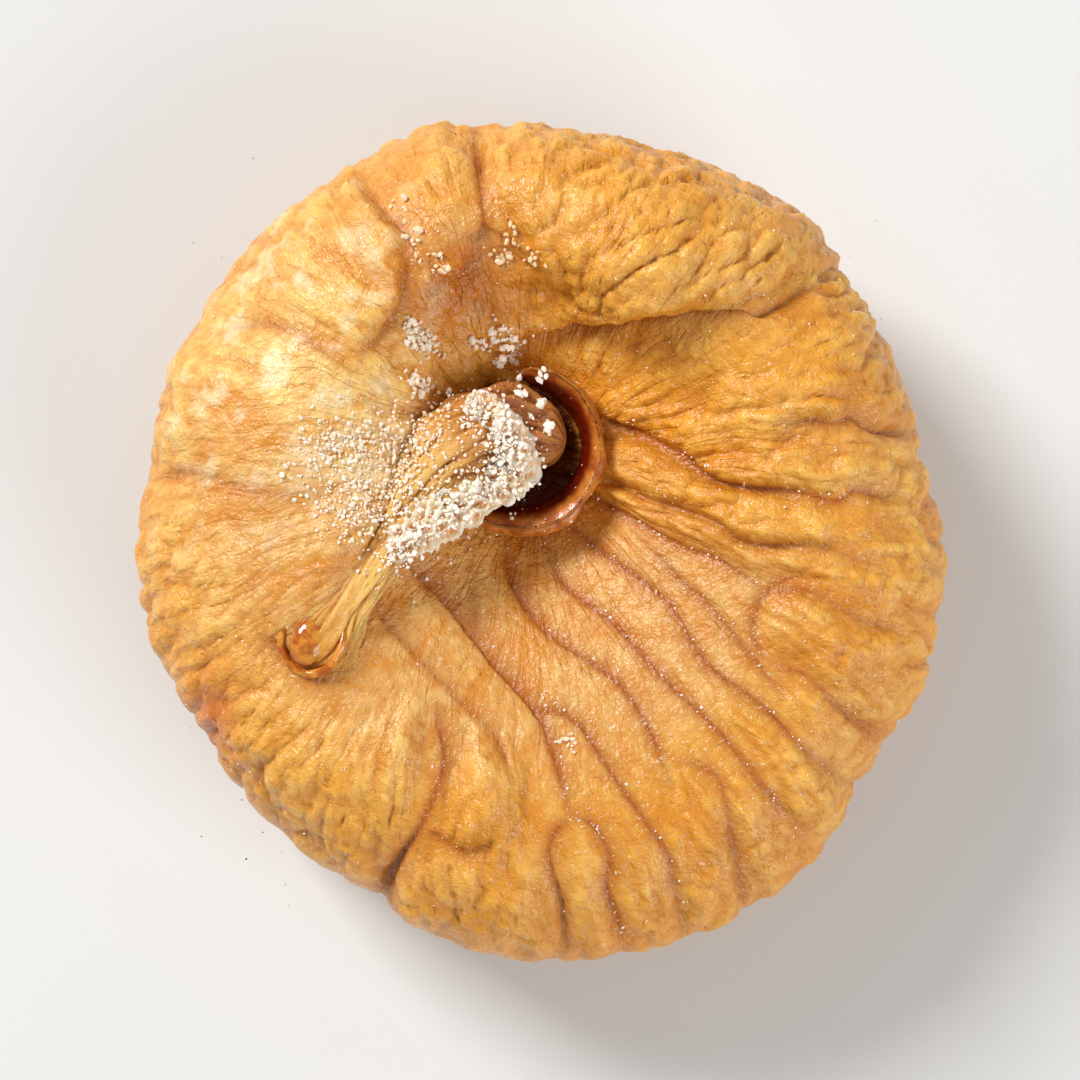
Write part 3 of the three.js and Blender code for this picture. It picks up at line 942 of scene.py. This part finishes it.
class Finish:
    """A Principled material with short calls for the nodes that these finishes share."""

    def __init__(self, name, **sockets):
        self.material = bpy.data.materials.new(name)
        self.material.use_nodes = True
        self.nodes = self.material.node_tree.nodes
        self.links = self.material.node_tree.links
        self.shader = self.nodes["Principled BSDF"]
        for socket, value in sockets.items():
            self.shader.inputs[socket.replace("_", " ")].default_value = value
        self.place = self.nodes.new("ShaderNodeTexCoord").outputs["Object"]

    def feed(self, socket, source):
        """Joins a source to a shader socket."""
        self.links.new(source, self.shader.inputs[socket])

    def mask(self, name):
        """A mask painted on the mesh."""
        node = self.nodes.new("ShaderNodeAttribute")
        node.attribute_name = name
        return node.outputs["Fac"]

    def streaks(self, count, run_mm):
        """Streaks out from the hollow, about count of them round the fruit and each about run_mm long.

        Cloudy noise is read on a cylinder whose girth is the count and whose length is the run outwards.
        """
        node = self.nodes.new("ShaderNodeCombineXYZ")
        girth = count / TAU
        axes = {"X": ("turned_x", girth), "Y": ("turned_y", girth), "Z": ("outwards", 1 / run_mm)}
        for label, (name, scale) in axes.items():
            self.links.new(self.times(self.mask(name), scale), node.inputs[label])
        return self.clouds(node.outputs["Vector"], 1.0, 3.0, 0.5)

    def grain(self, size_mm, detail=3.0):
        """Cloudy noise whose patches are about size_mm across."""
        return self.clouds(self.place, 1 / (size_mm * MM), detail, 0.55)

    def clouds(self, place, scale, detail, roughness):
        """Cloudy noise at a place, between 0 and 1."""
        node = self.nodes.new("ShaderNodeTexNoise")
        for label, value in (("Scale", scale), ("Detail", detail), ("Roughness", roughness)):
            node.inputs[label].default_value = value
        self.links.new(place, node.inputs["Vector"])
        return node.outputs["Fac"]

    def creased(self, source, half):
        """0 where a noise crosses its middle value and 1 away from there: thin lines."""
        node = self.nodes.new("ShaderNodeMath")
        node.operation = "SUBTRACT"
        self.links.new(source, node.inputs[0])
        node.inputs[1].default_value = 0.5
        size = self.nodes.new("ShaderNodeMath")
        size.operation = "ABSOLUTE"
        self.links.new(node.outputs["Value"], size.inputs[0])
        return self.span(size.outputs["Value"], 0.0, half)

    def span(self, source, low, high, to_low=0.0, to_high=1.0):
        """Maps low..high smoothly to to_low..to_high."""
        node = self.nodes.new("ShaderNodeMapRange")
        node.interpolation_type = "SMOOTHSTEP"
        values = {"From Min": low, "From Max": high, "To Min": to_low, "To Max": to_high}
        for label, value in values.items():
            node.inputs[label].default_value = value
        self.links.new(source, node.inputs["Value"])
        return node.outputs["Result"]

    def times(self, a, b):
        """The product of two sources, or of a source and a number."""
        node = self.nodes.new("ShaderNodeMath")
        node.operation = "MULTIPLY"
        self.links.new(a, node.inputs[0])
        if isinstance(b, (int, float)):
            node.inputs[1].default_value = b
        else:
            self.links.new(b, node.inputs[1])
        return node.outputs["Value"]

    def tint(self, base, colour, amount):
        """base, moved towards colour by amount."""
        node = self.nodes.new("ShaderNodeMix")
        node.data_type = "RGBA"
        a, b = (s for s in node.inputs if s.type == "RGBA")
        for socket, value in ((a, base), (b, colour)):
            if isinstance(value, tuple):
                socket.default_value = value
            else:
                self.links.new(value, socket)
        factor = next(s for s in node.inputs if s.type == "VALUE")
        self.links.new(amount, factor)
        return next(s for s in node.outputs if s.type == "RGBA")

    def relief(self, layers):
        """Bump from (source, height in millimetres) layers, one over another."""
        below = None
        for source, height in layers:
            node = self.nodes.new("ShaderNodeBump")
            node.inputs["Distance"].default_value = height * MM
            self.links.new(source, node.inputs["Height"])
            if below:
                self.links.new(below, node.inputs["Normal"])
            below = node.outputs["Normal"]
        self.feed("Normal", below)


def rgb(red, green, blue):
    """A colour from its screen values, 0 to 255, as linear light."""
    parts = [v / 255 for v in (red, green, blue)]
    linear = [p / 12.92 if p <= 0.04045 else ((p + 0.055) / 1.055) ** 2.4 for p in parts]
    return (*linear, 1.0)


GOLD, LIGHT_GOLD = rgb(238, 168, 52), rgb(246, 192, 90)
CHEEK_BLOOM_AND_HIGHLIGHT, FAN_WAX_AND_HIGHLIGHT, OUTER_ORANGE = rgb(252, 214, 128), rgb(236, 190, 114), rgb(234, 156, 26)
FOLD_SHADE_ORANGE, BLOTCH_ORANGE, DIP_SHADE_ORANGE = rgb(220, 138, 18), rgb(224, 144, 28), rgb(212, 128, 16)
LINE_BROWN, NET_BROWN, WALL_AMBER_AND_SHADE = rgb(214, 138, 48), rgb(212, 136, 46), rgb(190, 102, 14)
BLUSH_RED, CREASE_SHADE_BROWN, CUP_RED_AND_SHADE = rgb(204, 92, 40), rgb(168, 80, 2), rgb(104, 20, 2)
CRUSTED, FROSTED, FLECKED = rgb(255, 238, 194), rgb(250, 222, 168), rgb(255, 236, 190)

SYRUP_DARK, SYRUP_LIGHT = rgb(176, 90, 12), rgb(224, 150, 50)
KNOB, STRAP, STEM_TIP = rgb(206, 134, 58), rgb(240, 192, 104), rgb(226, 156, 52)
KNOB_FIBRE, STRAP_FIBRE = rgb(128, 64, 22), rgb(204, 136, 58)
SCALE_ORANGE, SCALE_BROWN, SCALE_INSIDE = rgb(206, 124, 44), rgb(166, 82, 22), rgb(112, 24, 5)
GRAIN_WHITE, GRAIN_HONEY = rgb(255, 246, 232), rgb(242, 204, 144)
FROTH_WHITE, FROTH_HOLE, FROTH_TAN = rgb(255, 238, 214), rgb(236, 186, 122), rgb(240, 196, 146)
BOARD_LIGHT, BOARD_DARK = rgb(226, 226, 224), rgb(222, 222, 220)


def skin_finish():
    """Waxy golden skin, paled by bloom and painted highlight, and browned in its hollows by painted shade.

    Each coat of colour covers those before it, as far as its own amount lets it.
    """
    f = Finish("fig_skin", Subsurface_Weight=0.3, Subsurface_Scale=0.0009, Specular_IOR_Level=0.55)
    f.shader.inputs["Subsurface Radius"].default_value = (1.0, 0.45, 0.15)
    patches, blotches, flecks = f.grain(6), f.grain(1.6), f.grain(0.4)
    lines = f.creased(f.streaks(70, 9), 0.08)
    net = f.creased(f.grain(1.1), 0.06)
    crusted = f.times(f.mask("cheek"), f.span(f.grain(2.4), 0.5, 0.68))
    frosted = f.times(f.mask("frost"), f.span(blotches, 0.35, 0.6))
    coats = [
        # the cheek: pale cream, partly a waxy bloom and partly a painted highlight where the lobe faces the
        # lamp
        (CHEEK_BLOOM_AND_HIGHLIGHT, f.mask("cheek"), 0.9),
        # the fan: pale beige, partly waxy skin and partly a painted highlight where the pleats face the lamp
        (FAN_WAX_AND_HIGHLIGHT, f.mask("fan"), 0.9),
        (OUTER_ORANGE, f.mask("rim_glow"), 0.7),
        # painted shade: deeper orange in the valleys of the broad wrinkles
        (FOLD_SHADE_ORANGE, f.span(f.mask("fold_shade"), 0.3, 0.85), 0.8),
        (BLOTCH_ORANGE, f.span(blotches, 0.5, 0.72), 0.5),
        # painted shade: deeper orange in the valleys of the fine wrinkles
        (DIP_SHADE_ORANGE, f.span(f.mask("dip_shade"), 0.15, 0.7), 0.5),
        (LINE_BROWN, f.span(lines, 0.0, 1.0, 1.0, 0.0), 0.2),
        (NET_BROWN, f.span(net, 0.0, 1.0, 1.0, 0.0), 0.14),
        # the upper wall: amber skin darkened with painted shade, as the wall faces away from the lamp
        (WALL_AMBER_AND_SHADE, f.mask("wall"), 0.9),
        (BLUSH_RED, f.mask("blush"), 0.6),
        (CRUSTED, crusted, 0.7),
        (FROSTED, frosted, 0.8),
        # painted shade: dark brown along the bottom of every crease
        (CREASE_SHADE_BROWN, f.mask("crease_shade"), 1.0),
        # under the scale: painted shade with the dark red of the scale's inner wall
        (CUP_RED_AND_SHADE, f.mask("cup_red_and_shade"), 1.0),
        (FLECKED, f.span(flecks, 0.64, 0.75), 0.5),
    ]
    colour = f.tint(GOLD, LIGHT_GOLD, f.span(patches, 0.35, 0.65))
    for coat, where, strength in coats:
        colour = f.tint(colour, coat, f.times(where, strength))
    f.feed("Base Color", colour)
    f.feed("Roughness", f.span(blotches, 0.3, 0.7, 0.25, 0.42))
    f.relief([(lines, 0.05), (net, 0.025), (f.grain(0.6), 0.22), (f.grain(0.22, 2), 0.06)])
    return f.material


def syrup_finish():
    """Clear amber syrup, set hard."""
    f = Finish("set_syrup", Subsurface_Weight=0.5, Subsurface_Scale=0.001, Roughness=0.12, Coat_Weight=0.6)
    f.shader.inputs["Subsurface Radius"].default_value = (1.0, 0.5, 0.1)
    f.feed("Base Color", f.tint(SYRUP_DARK, SYRUP_LIGHT, f.span(f.grain(0.8), 0.4, 0.65)))
    f.relief([(f.grain(0.6, 2), 0.06)])
    return f.material


def stem_finish():
    """Dry brown fibre at the round end, paling along the strap, and amber at the tip."""
    f = Finish("stem_fibre", Subsurface_Weight=0.35, Subsurface_Scale=0.0012, Roughness=0.5)
    f.shader.inputs["Subsurface Radius"].default_value = (1.0, 0.5, 0.2)
    colour = f.tint(KNOB, STRAP, f.span(f.mask("run"), 0.2, 0.5))
    colour = f.tint(colour, STEM_TIP, f.span(f.mask("run"), 0.8, 0.97))
    fibre = f.tint(KNOB_FIBRE, STRAP_FIBRE, f.span(f.mask("run"), 0.2, 0.45))
    colour = f.tint(colour, fibre, f.times(f.span(f.mask("streak"), 0.1, 0.7), 0.8))
    f.feed("Base Color", colour)
    f.relief([(f.grain(0.7, 4), 0.3), (f.grain(0.25, 3), 0.08)])
    return f.material


def scale_finish():
    """Glossy orange-brown in patches, and dark red inside."""
    f = Finish("scale_gloss", Subsurface_Weight=0.3, Subsurface_Scale=0.001, Roughness=0.28, Coat_Weight=0.3)
    f.shader.inputs["Subsurface Radius"].default_value = (1.0, 0.4, 0.1)
    colour = f.tint(SCALE_ORANGE, SCALE_BROWN, f.span(f.grain(1.2), 0.4, 0.6))
    colour = f.tint(colour, SCALE_INSIDE, f.mask("inner"))
    f.feed("Base Color", colour)
    f.relief([(f.grain(0.5, 3), 0.1)])
    return f.material


def grain_finish():
    """Dry white grains, honey-coloured where they are clear."""
    f = Finish("sugar_dust", Roughness=0.25)
    f.feed("Base Color", f.tint(GRAIN_WHITE, GRAIN_HONEY, f.span(f.mask("clear"), 0.1, 0.9)))
    return f.material


def froth_finish():
    """Frothy sugar, white along the walls of its bubbles and honey-coloured in their openings."""
    f = Finish("sugar_crystals", Subsurface_Weight=0.8, Subsurface_Scale=0.0008, Roughness=0.3)
    f.shader.inputs["Subsurface Radius"].default_value = (1.0, 0.7, 0.45)
    colour = f.tint(FROTH_WHITE, FROTH_HOLE, f.span(f.mask("clear"), 0.2, 0.95))
    colour = f.tint(colour, FROTH_TAN, f.times(f.span(f.grain(0.6), 0.5, 0.65), 0.5))
    f.feed("Base Color", colour)
    f.relief([(f.grain(0.3, 3), 0.08)])
    return f.material


# ------------------------------------------------------------------ the room

BOARD_HALF = 2500.0  # half the board's side, in millimetres

# Lamps: place and size in metres, and power in watts.
LAMPS = {
    "key": ((-0.34, 0.34, 0.38), 0.2, 3.6),
    "fill": ((0.4, -0.32, 0.3), 0.4, 2.0),
}
SURROUNDINGS = 0.35  # brightness of the white all round

LENS_MM, SENSOR_MM = 100, 36
PICTURE_WIDTH = 0.066  # metres across the picture, at FOCUS_HEIGHT over the board
FOCUS_HEIGHT = 0.01


def floor_finish():
    """Plain pale board."""
    f = Finish("pale_board", Roughness=0.8)
    f.feed("Base Color", f.tint(BOARD_LIGHT, BOARD_DARK, f.grain(60)))
    return f.material


def make_floor():
    """A broad level board just under the fruit."""
    half = BOARD_HALF
    corners = np.array([(-half, -half, 0), (half, -half, 0), (half, half, 0), (-half, half, 0)])
    mesh = bpy.data.meshes.new("floor")
    mesh.from_pydata((corners * MM).tolist(), [], [(0, 1, 2, 3)])
    mesh.materials.append(floor_finish())
    board = bpy.data.objects.new("floor", mesh)
    bpy.context.scene.collection.objects.link(board)


def soft_light(name, place, size, power):
    """A square lamp at a place in metres that faces the fruit."""
    lamp = bpy.data.lights.new(name, "AREA")
    lamp.size, lamp.energy = size, power
    holder = bpy.data.objects.new(name, lamp)
    holder.location = place
    reach = math.hypot(place[0], place[1])
    holder.rotation_euler = (math.atan2(reach, place[2]), 0, math.atan2(place[0], -place[1]))
    bpy.context.scene.collection.objects.link(holder)


def make_room():
    """Pale even surroundings, a soft lamp at the upper left and a larger, weaker one at the lower right."""
    world = bpy.data.worlds.new("pale_room")
    world.use_nodes = True
    background = world.node_tree.nodes["Background"]
    background.inputs["Color"].default_value = (1, 1, 1, 1)
    background.inputs["Strength"].default_value = SURROUNDINGS
    bpy.context.scene.world = world
    for name, (place, size, power) in LAMPS.items():
        soft_light(name, place, size, power)
    bpy.context.scene.view_settings.view_transform = "Standard"


def make_camera():
    """A camera straight above, with the picture's top towards +Y."""
    camera = bpy.data.cameras.new("camera")
    camera.lens, camera.sensor_width = LENS_MM, SENSOR_MM
    holder = bpy.data.objects.new("camera", camera)
    holder.location = (0, 0, PICTURE_WIDTH * LENS_MM / SENSOR_MM + FOCUS_HEIGHT)
    bpy.context.scene.collection.objects.link(holder)
    bpy.context.scene.camera = holder


# ------------------------------------------------------------------ everything together

rng = np.random.default_rng(SEED)
skin = make_fruit(skin_finish())
ground = HeightMap()
ground.add(skin[: ROWS["hollow"] + ROWS["rim"]])
make_stem(ground, stem_finish())
make_scale(ground, scale_finish())
make_tip(ground, syrup_finish())
make_froth(ground, froth_finish())
make_grains(rng, ground, grain_finish())
make_floor()
make_room()
make_camera()
